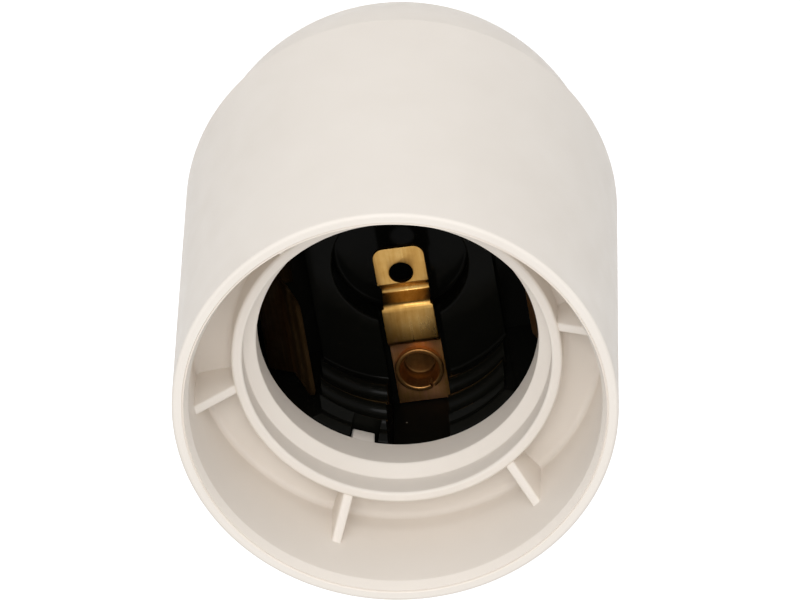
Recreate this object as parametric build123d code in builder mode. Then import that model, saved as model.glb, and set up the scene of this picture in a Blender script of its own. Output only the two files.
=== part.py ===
from build123d import *
import os
from math import atan2, cos, degrees, hypot, radians, sin, sqrt

# Edison screw lampholder, 27 mm thread, standing on its neck with the mouth up.
# Millimetres. The origin is the centre of the neck's end, +Z runs out of the mouth.

# Clearances
turn_gap = 0.3            # radial gap between pieces that turn or slide on each other
seat_gap = 0.2            # axial gap between the insert's top and the shell's web
thread_gap = 0.4          # radial room for the coarse thread between shell and cap
press_gap = 0.05          # radial gap of rivets, bush and other fixed round pieces
screw_gap = 0.15          # radial gap of the small screws in their tapped holes
fuse = 0.3                # depth to which a rib or lug is sunk into its own moulding

# Lamp thread, a coarse rounded thread
thread_root_r = 13.35
thread_depth = 1.05
thread_pitch = 3.629
thread_turns = 2.5
thread_foot_w = 3.2       # width of a ridge at its foot, inside the wall
thread_start = 2.1        # height of the lowest ridge over the insert's floor

# Shell: skirt, channel, collar and web
shell_len = 40.4
skirt_flare = 0.35        # the rim stands out from the shell's back end by this
rim_wall = 1.6
rim_chamfer_w = 0.35
rim_chamfer_h = 1.9
rim_edge_fillet = 0.4
channel_depth = 13.8
channel_fillet = 0.6
bore_room = 0.65          # radial room round the lamp's cap
ledge_w = 1.3
ledge_drop = 0.9
ledge_depth = 12.5
collar_wall = 1.1
lip_depth = 9.7
lip_fillet = 0.25
bore_len = 3.8
back_wall = 1.85
rib_count = 6
rib_t = 1.0
rib_depth = 7.1           # at the skirt; the ribs slope down to the collar's lip
rib_angle = 4.1
key_count = 3
key_w = 1.8
key_reach = 1.0           # how far a key rib reaches into the insert
key_end_gap = 0.6
lug_count = 2
lug_w = 2.3
lug_t = 1.3
lug_len = 1.8
lug_angle = 67.0

# Cap: spigot, dome and neck
cap_step = 0.6            # the cap stands in from the shell at the seam
cap_band = 0.6
dome_r = 20.0
cap_wall = 2.4
neck_r = 8.5
neck_len = 4.0
neck_fillet = 1.2
foot_chamfer = 0.5
spigot_len = 8.4
spigot_wall = 1.6

# Insert
insert_wall = 5.65        # from the thread's root to the insert's outside
insert_gap = 0.8          # radial room between insert and shell
socket_depth = 11.4
recess_r = 6.8
recess_depth = 3.5
window_w = 19.4
window_reach = 4.15       # how far a window cuts in from the thread's root
window_depth = 1.85       # how far it cuts out beyond the root
channel_drop = 1.7        # contact channel and window floors below the main floor
channel_side_gap = 0.55
deck_drop = 5.1           # terminal deck below the main floor
chamber_h = 6.0
chamber_wall = 1.3        # between the line terminal's chamber and the insert's rear side
screw_hole_h = 2.6
top_chamfer = 0.7

# Brass pieces
strip_t = 0.5
strip_w = 5.2
strip_neck_w = 4.8
strip_rise = 1.6
strip_bend_r = 0.5
step_run = 0.65           # run of each sloping stretch of the strip
tab_end_y = -2.1
tab_len = 4.5
valley_len = 0.75
tab_corner_r = 1.1
tab_hole_r = 1.2
tab_hole_y = 0.85
end_gap = 0.15
rivet_room = 1.25         # from the strip's last bend to the rolled rim
rivet_end = 3.9           # from the rivet's axis to the strip's end
rivet_tube_r = 1.95
rivet_bore_r = 1.6
rivet_rim_r = 2.45
rivet_rim_h = 0.7
rivet_bore_depth = 2.4
rivet_roll = 0.45         # share of the rim's width that its rounding takes
rivet_slit_w = 0.35
rivet_slit_angle = 119.0
plate_t = 1.0
contact_t = 0.5
contact_foot_gap = 1.8
contact_heel_gap = 0.75
foot_near_y = -4.8        # the contacts' feet, from their near side to their far side
foot_far_y = 1.2
contact_bend_r = 0.6
contact_corner_r = 1.2
leaf_near_y = -1.8        # the leaning leaf, from its near side to its far side
leaf_far_y = 9.2
leaf_bend_h = 3.0         # heights of leaf and upright count from the window's floor
leaf_knee_h = 4.6
leaf_tip_h = 10.4
leaf_knee = 2.6           # how far the leaf's knee and tip stand in from its heel
leaf_tip = 4.6
upright_near_y = -2.0     # the bulged upright, from its near side to its far side
upright_far_y = 6.0
upright_bend_h = 3.0
upright_bulge_h = 8.2
upright_tip_h = 12.4
contact_bulge = 0.6       # how far the upright stands in from the thread's root
contact_rivet_in = 0.95   # rivet axis inside the thread's root
contact_rivet_y = -2.8
contact_rivet_r = 1.0
contact_rivet_head_r = 1.4
contact_rivet_head_h = 0.7
bridge_w = 6.0
bridge_end_y = 2.2
bridge_gap = 0.8
line_screw_angle = 128.0
terminal_w = 6.0
collar_r = 2.4
collar_h = 1.5
screw_r = 1.45
screw_len = 4.0
screw_head_r = 2.8
screw_head_h = 1.8
screw_slot_w = 0.7
screw_slot_h = 0.9
clamp_r = 3.2
clamp_t = 0.8
clamp_dish = 0.3

# Entry bush and its set screw
entry_r = 4.5
bush_r = 6.2
bush_flange_r = 8.0
bush_flange_h = 1.6
entry_chamfer = 0.5
lock_r = 1.4
lock_z = 2.8
lock_recess = 0.2
lock_slot_w = 0.6
lock_slot_h = 1.0

# Places worked out from the sizes above
dome_z = neck_len + dome_r
seam_z = dome_z + cap_band
rim_z = seam_z + shell_len
channel_z = rim_z - channel_depth
lip_z = rim_z - lip_depth
ledge_z = rim_z - ledge_depth
web_z = ledge_z - ledge_drop - bore_len
rib_z = rim_z - rib_depth
thread_crest_r = thread_root_r - thread_depth
insert_r = thread_root_r + insert_wall
rear_in_r = insert_r + insert_gap
back_r = rear_in_r + back_wall
rim_r = back_r + skirt_flare
skirt_in_r = rim_r - rim_wall
bore_r = thread_root_r + bore_room
collar_in_r = bore_r + ledge_w
collar_out_r = collar_in_r + collar_wall
cap_r = back_r - cap_step
spigot_r = rear_in_r - thread_gap
spigot_in_r = spigot_r - spigot_wall
spigot_z = seam_z + spigot_len
insert_rear_r = spigot_in_r - turn_gap
top_z = web_z - seat_gap
floor_z = top_z - socket_depth
recess_z = floor_z - recess_depth
groove_z = floor_z - channel_drop
deck_z = floor_z - deck_drop
back_z = deck_z - chamber_h
window_in_x = thread_root_r - window_reach
window_out_x = thread_root_r + window_depth
contact_foot_x = window_in_x + contact_foot_gap
contact_bulge_r = thread_root_r - contact_bulge
contact_rivet_x = thread_root_r - contact_rivet_in
bridge_in_r = contact_rivet_x - bridge_w / 2
bridge_out_r = contact_rivet_x + bridge_w / 2
neutral_screw_y = -contact_rivet_x
line_screw_x = contact_rivet_x * cos(radians(line_screw_angle))
line_screw_y = contact_rivet_x * sin(radians(line_screw_angle))
chamber_w = 2 * (clamp_r + turn_gap)
rivet_y = insert_rear_r - chamber_wall - chamber_w / 2
key_in_r = insert_r - key_reach
strip_low_z = groove_z + strip_t / 2
strip_high_z = strip_low_z + strip_rise
tab_y = tab_end_y + tab_len
valley_y = tab_y + step_run
pad_y = valley_y + valley_len + step_run
plate_y = rivet_y - rivet_rim_r - rivet_room
pad_end_y = plate_y - step_run
strip_end_y = rivet_y + rivet_end
plate_z = deck_z - plate_t


def near(shape, *places):
    """The corners of a sketch that lie closest to the given places."""
    return [shape.vertices().sort_by_distance(place)[0] for place in places]


# Shell: one turned section, then the ribs in the channel, the key ribs and the lugs
with BuildPart() as rib:
    with BuildSketch(Plane.XZ):
        with BuildLine():
            Polyline(
                (collar_out_r - fuse, channel_z - fuse),
                (skirt_in_r + fuse, channel_z - fuse),
                (skirt_in_r + fuse, rib_z),
                (skirt_in_r, rib_z),
                (collar_out_r, lip_z - lip_fillet),
                (collar_out_r - fuse, lip_z - lip_fillet),
                close=True,
            )
        make_face()
    extrude(amount=rib_t / 2, both=True)

key_end_z = spigot_z + key_end_gap
with BuildPart() as key:
    with BuildSketch(Plane.XZ):
        with Locations(((key_in_r + rear_in_r + fuse) / 2, (web_z + fuse + key_end_z) / 2)):
            Rectangle(rear_in_r + fuse - key_in_r, web_z + fuse - key_end_z)
    extrude(amount=key_w / 2, both=True)

with BuildPart() as lug:
    with BuildSketch(Plane.XZ):
        with Locations((bore_r + lug_t / 2, web_z - (lug_len - fuse) / 2)):
            Rectangle(lug_t, lug_len + fuse)
    extrude(amount=lug_w / 2, both=True)

with BuildPart() as shell:
    with BuildSketch(Plane.XZ) as shell_section:
        with BuildLine():
            Polyline(
                (back_r, seam_z),
                (rim_r, rim_z),
                (skirt_in_r + rim_chamfer_w, rim_z),
                (skirt_in_r, rim_z - rim_chamfer_h),
                (skirt_in_r, channel_z),
                (collar_out_r, channel_z),
                (collar_out_r, lip_z),
                (collar_in_r, lip_z),
                (collar_in_r, ledge_z),
                (bore_r, ledge_z - ledge_drop),
                (bore_r, web_z),
                (rear_in_r, web_z),
                (rear_in_r, seam_z),
                close=True,
            )
        make_face()
        fillet(near(shell_section, (rim_r, rim_z)), radius=rim_edge_fillet)
        fillet(near(shell_section, (skirt_in_r, channel_z), (collar_out_r, channel_z)), radius=channel_fillet)
        fillet(near(shell_section, (collar_out_r, lip_z), (collar_in_r, lip_z)), radius=lip_fillet)
    revolve(axis=Axis.Z)
    with PolarLocations(0, rib_count, start_angle=rib_angle):
        add(rib.part)
    with PolarLocations(0, key_count, start_angle=rib_angle):
        add(key.part)
    with PolarLocations(0, lug_count, start_angle=lug_angle):
        add(lug.part)
shell.part.label = "shell"

# Cap: spigot, band, dome and neck in one turned section, with the set screw's hole
dome_centre_r = cap_r - dome_r
dome_inner_r = dome_r - cap_wall
cavity_centre_r = spigot_in_r - dome_inner_r
seat_r = bush_flange_r + turn_gap
cavity_z = dome_z - sqrt(dome_inner_r**2 - (seat_r - cavity_centre_r) ** 2)
neck_top_z = dome_z - sqrt(dome_r**2 - (neck_r - dome_centre_r) ** 2)
bush_hole_r = bush_r + press_gap
lock_hole_r = lock_r + screw_gap
arc_mid = radians(45)

with BuildPart() as cap:
    with BuildSketch(Plane.XZ) as cap_section:
        with BuildLine():
            Polyline((bush_hole_r, cavity_z), (bush_hole_r, 0), (neck_r, 0), (neck_r, neck_top_z))
            ThreePointArc(
                (neck_r, neck_top_z),
                (dome_centre_r + dome_r * cos(arc_mid), dome_z - dome_r * sin(arc_mid)),
                (cap_r, dome_z),
            )
            Polyline(
                (cap_r, dome_z),
                (cap_r, seam_z),
                (spigot_r, seam_z),
                (spigot_r, spigot_z),
                (spigot_in_r, spigot_z),
                (spigot_in_r, dome_z),
            )
            ThreePointArc(
                (spigot_in_r, dome_z),
                (cavity_centre_r + dome_inner_r * cos(arc_mid), dome_z - dome_inner_r * sin(arc_mid)),
                (seat_r, cavity_z),
            )
            Line((seat_r, cavity_z), (bush_hole_r, cavity_z))
        make_face()
        fillet(near(cap_section, (neck_r, neck_top_z)), radius=neck_fillet)
        chamfer(near(cap_section, (neck_r, 0)), length=foot_chamfer)
    revolve(axis=Axis.Z)
    with BuildSketch(Plane.XZ):
        with Locations((0, lock_z)):
            Circle(lock_hole_r)
    extrude(amount=-(neck_r + fuse), mode=Mode.SUBTRACT)
cap.part.label = "cap"

# Entry bush: threaded tube with a flange on the cap's inner floor
with BuildPart() as entry_bush:
    with BuildSketch(Plane.XZ) as bush_section:
        with BuildLine():
            Polyline(
                (entry_r, 0),
                (bush_r, 0),
                (bush_r, cavity_z),
                (bush_flange_r, cavity_z),
                (bush_flange_r, cavity_z + bush_flange_h),
                (entry_r, cavity_z + bush_flange_h),
                close=True,
            )
        make_face()
        chamfer(near(bush_section, (entry_r, 0)), length=entry_chamfer)
    revolve(axis=Axis.Z)
    with BuildSketch(Plane.XZ):
        with Locations((0, lock_z)):
            Circle(lock_hole_r)
    extrude(amount=-(bush_r + fuse), mode=Mode.SUBTRACT)
entry_bush.part.label = "entry_bush"

# Set screw: headless, slotted, along +Y through neck and bush
lock_in_y = entry_r + screw_gap
lock_out_y = neck_r - lock_recess
with BuildPart() as lock_screw:
    with BuildSketch(Plane.XZ.offset(-lock_in_y)):
        with Locations((0, lock_z)):
            Circle(lock_r)
    extrude(amount=lock_in_y - lock_out_y)
    with BuildSketch(Plane.XZ.offset(-lock_out_y)):
        with Locations((0, lock_z)):
            Rectangle(2 * lock_r + fuse, lock_slot_w)
    extrude(amount=lock_slot_h, mode=Mode.SUBTRACT)
lock_screw.part.label = "lock_screw"

# Insert: cup with the lamp's thread, windows, contact channel and terminal chambers
thread_h = thread_pitch * thread_turns
lug_slot_w = lug_w + 2 * turn_gap
lug_out_r = bore_r + lug_t + turn_gap
lug_mid_r = (thread_crest_r - fuse + lug_out_r) / 2
slot_w = strip_w + 2 * channel_side_gap
slot_end_y = strip_end_y + end_gap
with BuildPart() as openings:
    with BuildSketch(Plane.XY.offset(groove_z)):
        # windows of the side contacts
        for side in (1, -1):
            with Locations((side * (window_in_x + window_out_x) / 2, 0)):
                Rectangle(window_out_x - window_in_x, window_w)
        # channel of the centre contact, through floor and wall
        with Locations((0, slot_end_y / 2)):
            Rectangle(slot_w, slot_end_y)
    extrude(amount=top_z - groove_z)
    # notches of the shell's lugs
    with BuildSketch(Plane.XY.offset(top_z)):
        with PolarLocations(lug_mid_r, lug_count, start_angle=lug_angle):
            Rectangle(2 * (lug_out_r - lug_mid_r), lug_slot_w)
    extrude(amount=-(lug_len + turn_gap))

with BuildPart() as thread_ridge:
    with BuildLine() as thread_path:
        Helix(thread_pitch, thread_h, thread_root_r, center=(0, 0, floor_z + thread_start))
    with BuildSketch(Plane.XZ):
        with BuildLine():
            foot_low = (thread_root_r + fuse, floor_z + thread_start - thread_foot_w / 2)
            foot_high = (thread_root_r + fuse, floor_z + thread_start + thread_foot_w / 2)
            ThreePointArc(foot_low, (thread_crest_r, floor_z + thread_start), foot_high)
            Line(foot_high, foot_low)
        make_face()
    sweep(path=thread_path.wire(), is_frenet=True)
    add(openings.part, mode=Mode.SUBTRACT)
    with BuildSketch(Plane.XY.offset(top_z)):
        Circle(insert_r)
    extrude(amount=thread_pitch, mode=Mode.SUBTRACT)

line_run = hypot(line_screw_x, line_screw_y - rivet_y)
line_angle = degrees(atan2(line_screw_y - rivet_y, line_screw_x))
line_mid = (line_screw_x / 2, (line_screw_y + rivet_y) / 2)
tap_r = screw_r + screw_gap
collar_room_r = collar_r + press_gap
key_slot_w = key_w + 2 * turn_gap

with BuildPart() as insert:
    with BuildSketch(Plane.XZ) as insert_section:
        with BuildLine():
            Polyline(
                (0, back_z),
                (insert_rear_r, back_z),
                (insert_rear_r, spigot_z),
                (insert_r, spigot_z),
                (insert_r, top_z),
                (thread_root_r, top_z),
                (thread_root_r, floor_z),
                (recess_r, floor_z),
                (recess_r, recess_z),
                (0, recess_z),
                close=True,
            )
        make_face()
        chamfer(near(insert_section, (insert_r, top_z), (thread_root_r, top_z)), length=top_chamfer)
    revolve(axis=Axis.Z)
    add(openings.part, mode=Mode.SUBTRACT)
    # slots for the shell's key ribs
    key_slot_r = key_in_r - turn_gap
    with BuildSketch(Plane.XY.offset(spigot_z)):
        with PolarLocations((key_slot_r + insert_r) / 2 + fuse, key_count, start_angle=rib_angle):
            Rectangle(insert_r - key_slot_r + 2 * fuse, key_slot_w)
    extrude(amount=top_z - spigot_z, mode=Mode.SUBTRACT)
    # terminal chambers, open to the back
    with BuildSketch(Plane.XY.offset(back_z)):
        with Locations(Location(line_mid, line_angle)):
            SlotCenterToCenter(line_run, chamber_w)
        with BuildSketch(mode=Mode.ADD):
            Circle(bridge_out_r + bridge_gap)
            Circle(bridge_in_r - bridge_gap, mode=Mode.SUBTRACT)
            with Locations((0, bridge_end_y + press_gap + insert_r)):
                Rectangle(2 * insert_r, 2 * insert_r, mode=Mode.SUBTRACT)
    extrude(amount=chamber_h, mode=Mode.SUBTRACT)
    # rivet holes through the deck, blind holes over the terminal screws
    with BuildSketch(Plane.XY.offset(deck_z)):
        with Locations((0, rivet_y)):
            Circle(rivet_tube_r + press_gap)
        with Locations((contact_rivet_x, contact_rivet_y), (-contact_rivet_x, contact_rivet_y)):
            Circle(contact_rivet_r + press_gap)
    extrude(amount=groove_z - deck_z, mode=Mode.SUBTRACT)
    with BuildSketch(Plane.XY.offset(deck_z)):
        with Locations((line_screw_x, line_screw_y), (0, neutral_screw_y)):
            Circle(collar_room_r)
    extrude(amount=screw_hole_h, mode=Mode.SUBTRACT)
    add(thread_ridge.part)
insert.part.label = "insert"

# Centre contact: spring strip bent in a wave, riveted at one end, with its tab on the axis
with BuildPart() as centre_contact:
    with BuildSketch(Plane.YZ):
        with BuildLine():
            FilletPolyline(
                (tab_end_y, strip_high_z),
                (tab_y, strip_high_z),
                (valley_y, strip_low_z),
                (valley_y + valley_len, strip_low_z),
                (pad_y, strip_high_z),
                (pad_end_y, strip_high_z),
                (plate_y, strip_low_z),
                (strip_end_y, strip_low_z),
                radius=strip_bend_r,
            )
        trace(line_width=strip_t)
    extrude(amount=strip_w / 2, both=True)
    with BuildSketch(Plane.XY.offset(groove_z - strip_t)):
        for side in (1, -1):
            with Locations((side * (strip_neck_w + strip_w) / 4, (tab_y + pad_y) / 2)):
                Rectangle((strip_w - strip_neck_w) / 2, pad_y - tab_y)
        with Locations((0, tab_hole_y)):
            Circle(tab_hole_r)
        with Locations((0, rivet_y)):
            Circle(rivet_tube_r + press_gap)
    extrude(amount=strip_rise + 3 * strip_t, mode=Mode.SUBTRACT)
    fillet(centre_contact.edges().filter_by(Axis.Z).group_by(Axis.Y)[0], radius=tab_corner_r)
centre_contact.part.label = "centre_contact"

# Centre rivet: bored from the front and rolled over there, its front rim split once
strip_top_z = groove_z + strip_t
rivet_top_z = strip_top_z + rivet_rim_h
rivet_bore_z = rivet_top_z - rivet_bore_depth
rivet_axis = Axis((0, rivet_y, 0), (0, 0, 1))
with BuildPart() as centre_rivet:
    with BuildSketch(Plane((0, rivet_y, 0), x_dir=(1, 0, 0), z_dir=(0, -1, 0))) as rivet_section:
        with BuildLine():
            Polyline(
                (0, plate_z - rivet_rim_h),
                (rivet_rim_r, plate_z - rivet_rim_h),
                (rivet_rim_r, plate_z),
                (rivet_tube_r, plate_z),
                (rivet_tube_r, strip_top_z),
                (rivet_rim_r, strip_top_z),
                (rivet_rim_r, rivet_top_z),
                (rivet_bore_r, rivet_top_z),
                (rivet_bore_r, rivet_bore_z),
                (0, rivet_bore_z),
                close=True,
            )
        make_face()
        outer_rims = near(
            rivet_section,
            (rivet_rim_r, plate_z - rivet_rim_h),
            (rivet_rim_r, rivet_top_z),
            (rivet_bore_r, rivet_top_z),
        )
        fillet(outer_rims, radius=(rivet_rim_r - rivet_bore_r) * rivet_roll)
    revolve(axis=rivet_axis)
    with BuildSketch(Plane.XY.offset(strip_top_z)):
        with Locations(Location((0, rivet_y), rivet_slit_angle)):
            with Locations(((rivet_bore_r + rivet_rim_r) / 2, 0)):
                Rectangle(rivet_rim_r - rivet_bore_r + 2 * fuse, rivet_slit_w)
    extrude(amount=rivet_rim_h, mode=Mode.SUBTRACT)
centre_rivet.part.label = "centre_rivet"

# Side contacts: a foot on the window's floor, and a leaf that leans in or a bulged upright
heel_x = window_out_x - contact_heel_gap
foot_end_x = heel_x + contact_t / 2


def side_contact(corners, near_y, far_y):
    """Bent strip in the window on +X, between two places along Y."""
    with BuildPart() as strip:
        with BuildSketch(Plane.XZ.offset(-near_y)):
            with BuildLine():
                FilletPolyline((heel_x, groove_z), *corners, radius=contact_bend_r)
            trace(line_width=contact_t)
        extrude(amount=near_y - far_y)
        with BuildSketch(Plane.XY.offset(groove_z)):
            with Locations(((contact_foot_x + foot_end_x) / 2, (foot_near_y + foot_far_y) / 2)):
                Rectangle(foot_end_x - contact_foot_x, foot_far_y - foot_near_y)
        extrude(amount=contact_t)
        with BuildSketch(Plane.XY.offset(groove_z)):
            with Locations((contact_rivet_x, contact_rivet_y)):
                Circle(contact_rivet_r + press_gap)
        extrude(amount=contact_t, mode=Mode.SUBTRACT)
        tip_corners = strip.faces().sort_by(Axis.Z)[-1].edges().filter_by(Axis.Y, reverse=True)
        fillet(tip_corners, radius=contact_corner_r)
    return strip.part


leaf_corners = (
    (heel_x, groove_z + leaf_bend_h),
    (heel_x - leaf_knee, groove_z + leaf_knee_h),
    (heel_x - leaf_tip, groove_z + leaf_tip_h),
)
side_contact_right = side_contact(leaf_corners, leaf_near_y, leaf_far_y)
side_contact_right.label = "side_contact_right"

upright_corners = (
    (heel_x, groove_z + upright_bend_h),
    (contact_bulge_r, groove_z + upright_bulge_h),
    (heel_x, groove_z + upright_tip_h),
)
with BuildPart() as side_contact_left:
    mirror(side_contact(upright_corners, upright_near_y, upright_far_y), about=Plane.YZ)
side_contact_left.part.label = "side_contact_left"

# Neutral bridge: half ring on the terminal deck, with a tapped collar
with BuildPart() as neutral_bridge:
    with BuildSketch(Plane.XY.offset(plate_z)):
        Circle(bridge_out_r)
        Circle(bridge_in_r, mode=Mode.SUBTRACT)
        with Locations((0, bridge_end_y + bridge_out_r)):
            Rectangle(2 * bridge_out_r, 2 * bridge_out_r, mode=Mode.SUBTRACT)
    extrude(amount=plate_t)
    with BuildSketch(Plane.XY.offset(deck_z)):
        with Locations((0, neutral_screw_y)):
            Circle(collar_r)
    extrude(amount=collar_h)
    with BuildSketch(Plane.XY.offset(plate_z)):
        with Locations((0, neutral_screw_y)):
            Circle(tap_r)
        with Locations((contact_rivet_x, contact_rivet_y), (-contact_rivet_x, contact_rivet_y)):
            Circle(contact_rivet_r + press_gap)
    extrude(amount=plate_t + collar_h, mode=Mode.SUBTRACT)
neutral_bridge.part.label = "neutral_bridge"

# Line terminal: oblong plate on the deck between hollow rivet and screw
with BuildPart() as line_terminal:
    with BuildSketch(Plane.XY.offset(plate_z)):
        with Locations(Location(line_mid, line_angle)):
            SlotCenterToCenter(line_run, terminal_w)
    extrude(amount=plate_t)
    with BuildSketch(Plane.XY.offset(deck_z)):
        with Locations((line_screw_x, line_screw_y)):
            Circle(collar_r)
    extrude(amount=collar_h)
    with BuildSketch(Plane.XY.offset(plate_z)):
        with Locations((line_screw_x, line_screw_y)):
            Circle(tap_r)
        with Locations((0, rivet_y)):
            Circle(rivet_tube_r + press_gap)
    extrude(amount=plate_t + collar_h, mode=Mode.SUBTRACT)
line_terminal.part.label = "line_terminal"

# Rivets of the side contacts, one through each foot, deck and bridge
foot_top_z = groove_z + contact_t
with BuildPart() as side_contact_rivets:
    with Locations(*[(side * contact_rivet_x, contact_rivet_y, foot_top_z) for side in (1, -1)]):
        Cylinder(contact_rivet_head_r, contact_rivet_head_h, align=(Align.CENTER, Align.CENTER, Align.MIN))
    with Locations(*[(side * contact_rivet_x, contact_rivet_y, plate_z) for side in (1, -1)]):
        Cylinder(contact_rivet_head_r, contact_rivet_head_h, align=(Align.CENTER, Align.CENTER, Align.MAX))
        Cylinder(contact_rivet_r, foot_top_z - plate_z, align=(Align.CENTER, Align.CENTER, Align.MIN))
    head_rims = side_contact_rivets.edges().filter_by(GeomType.CIRCLE).group_by(Axis.Z)
    fillet(head_rims[-1] + head_rims[0], radius=contact_rivet_head_h / 2)
side_contact_rivets.part.label = "side_contact_rivets"


def clamp_washer(x, y):
    """Dished washer under the head of a terminal screw."""
    with BuildPart() as washer:
        with BuildSketch(Plane.XY.offset(plate_z)):
            with Locations((x, y)):
                Circle(clamp_r)
                Circle(screw_r + turn_gap, mode=Mode.SUBTRACT)
        extrude(amount=-clamp_t)
        rim = washer.edges().filter_by(GeomType.CIRCLE).group_by(Axis.Z)[0].sort_by(SortBy.RADIUS)[-1]
        chamfer(rim, length=clamp_dish)
    return washer.part


def terminal_screw(x, y):
    """Slotted cheese-head screw that enters a tapped collar from behind."""
    head_z = plate_z - clamp_t
    with BuildPart() as screw:
        with BuildSketch(Plane.XY.offset(head_z)):
            with Locations((x, y)):
                Circle(screw_head_r)
        extrude(amount=-screw_head_h)
        with BuildSketch(Plane.XY.offset(head_z)):
            with Locations((x, y)):
                Circle(screw_r)
        extrude(amount=screw_len)
        with BuildSketch(Plane.XY.offset(head_z - screw_head_h)):
            with Locations((x, y)):
                Rectangle(2 * screw_head_r + fuse, screw_slot_w)
        extrude(amount=screw_slot_h, mode=Mode.SUBTRACT)
    return screw.part


line_clamp = clamp_washer(line_screw_x, line_screw_y)
line_clamp.label = "line_clamp"
neutral_clamp = clamp_washer(0, neutral_screw_y)
neutral_clamp.label = "neutral_clamp"
line_screw = terminal_screw(line_screw_x, line_screw_y)
line_screw.label = "line_screw"
neutral_screw = terminal_screw(0, neutral_screw_y)
neutral_screw.label = "neutral_screw"

# One file for each piece
os.makedirs("parts", exist_ok=True)
export_step(shell.part, "parts/shell.step")
export_step(cap.part, "parts/cap.step")
export_step(insert.part, "parts/insert.step")
export_step(entry_bush.part, "parts/entry_bush.step")
export_step(lock_screw.part, "parts/lock_screw.step")
export_step(centre_contact.part, "parts/centre_contact.step")
export_step(centre_rivet.part, "parts/centre_rivet.step")
export_step(side_contact_right, "parts/side_contact_right.step")
export_step(side_contact_left.part, "parts/side_contact_left.step")
export_step(side_contact_rivets.part, "parts/side_contact_rivets.step")
export_step(neutral_bridge.part, "parts/neutral_bridge.step")
export_step(line_terminal.part, "parts/line_terminal.step")
export_step(line_clamp, "parts/line_clamp.step")
export_step(line_screw, "parts/line_screw.step")
export_step(neutral_clamp, "parts/neutral_clamp.step")
export_step(neutral_screw, "parts/neutral_screw.step")
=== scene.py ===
# %% [markdown]
# # A lampholder with an Edison screw
#
# The holder stands on its neck with its mouth up. A white shell with a flared skirt screws down over
# a white domed cap, and holds a glossy black insert between them. The insert carries the lamp's coarse
# thread, two brass side contacts in windows and a brass centre contact on its floor.
#
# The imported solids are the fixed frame: every piece made here lies where its solid lies and moves with
# the same body. All sizes below are in millimetres, and `MM` turns them into Blender's metres.

# %% Frame
import math

import bmesh
import bpy
import numpy as np
from mathutils import Matrix, Vector


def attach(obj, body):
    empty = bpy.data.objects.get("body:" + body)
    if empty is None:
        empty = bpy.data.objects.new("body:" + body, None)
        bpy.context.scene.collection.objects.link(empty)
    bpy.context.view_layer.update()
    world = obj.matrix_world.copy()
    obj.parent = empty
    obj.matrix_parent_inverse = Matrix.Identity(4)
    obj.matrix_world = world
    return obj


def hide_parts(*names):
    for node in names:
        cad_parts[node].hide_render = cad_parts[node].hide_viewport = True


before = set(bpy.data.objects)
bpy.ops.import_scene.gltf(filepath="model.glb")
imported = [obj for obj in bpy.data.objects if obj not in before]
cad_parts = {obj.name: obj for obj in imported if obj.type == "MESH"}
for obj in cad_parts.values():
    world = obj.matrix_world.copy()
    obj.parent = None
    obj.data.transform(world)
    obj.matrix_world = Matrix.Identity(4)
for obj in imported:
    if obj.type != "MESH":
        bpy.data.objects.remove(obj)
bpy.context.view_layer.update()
scene = bpy.context.scene
scene.view_settings.view_transform = "Standard"
MM = 0.001

# %% [markdown]
# ## Camera
#
# The picture looks down into the mouth at about 60 degrees, and the holder's neck points up in it, so
# the camera is rolled by half a turn. A long lens from 1.6 m gives the weak perspective of a product
# picture. The rim's centre is the anchor: the camera is put where that point falls on its own pixel.

# %% Camera
image_w, image_h = 800, 600
focal_px = 16275.0
camera_distance = 1.6
view_azimuth = math.radians(-10.5)
view_elevation = math.radians(60.15)
view_roll = math.radians(181.85)
rim_px = (395.1, 409.2)
rim_centre = Vector((0, 0, 65.0)) * MM

back = Vector((
    math.sin(view_azimuth) * math.cos(view_elevation),
    -math.cos(view_azimuth) * math.cos(view_elevation),
    math.sin(view_elevation),
))
level_right = Vector((math.cos(view_azimuth), math.sin(view_azimuth), 0))
level_up = back.cross(level_right)
right = level_right * math.cos(view_roll) + level_up * math.sin(view_roll)
up = back.cross(right)
sideways = (rim_px[0] - image_w / 2) / focal_px * camera_distance
upwards = (image_h / 2 - rim_px[1]) / focal_px * camera_distance

camera = bpy.data.objects.new("camera", bpy.data.cameras.new("camera"))
scene.collection.objects.link(camera)
scene.camera = camera
camera.data.sensor_width = 36.0
camera.data.lens = focal_px * camera.data.sensor_width / image_w
camera.data.clip_start = 0.01
eye = rim_centre + back * camera_distance - right * sideways - up * upwards
turned = Matrix((right, up, back)).transposed().to_4x4()
camera.matrix_world = Matrix.Translation(eye) @ turned
print("lens", round(camera.data.lens), "mm, eye", [round(c, 3) for c in eye])

# %% [markdown]
# ## Finishes: tools for the node trees
#
# Every finish is a Principled shader whose colour, roughness and bump come from noise in the piece's
# own coordinates. The real surfaces are small, so the noise scales are high: a scale of 1000 gives
# features of about a millimetre. A few small helpers keep the trees readable.

# %% Helpers for finishes
def new_finish(name, **sockets):
    """A material with its Principled shader, and constant sockets set on the shader itself."""
    material = bpy.data.materials.new(name)
    material.use_nodes = True
    tree = material.node_tree
    shader = tree.nodes["Principled BSDF"]
    for socket, value in sockets.items():
        shader.inputs[socket.replace("_", " ")].default_value = value
    return material, tree, shader


def add_node(tree, kind, links, **settings):
    """A node with its settings, and its inputs linked to outputs or given values."""
    node = tree.nodes.new(kind)
    for name, value in settings.items():
        setattr(node, name, value)
    for name, value in links.items():
        if isinstance(value, bpy.types.NodeSocket):
            tree.links.new(value, node.inputs[name])
        else:
            node.inputs[name].default_value = value
    return node.outputs


def calc(tree, operation, *terms):
    """A Math node: each term is a number or another node's output."""
    node = tree.nodes.new("ShaderNodeMath")
    node.operation = operation
    for slot, term in zip(node.inputs, terms):
        if isinstance(term, bpy.types.NodeSocket):
            tree.links.new(term, slot)
        else:
            slot.default_value = term
    return node.outputs[0]


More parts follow.
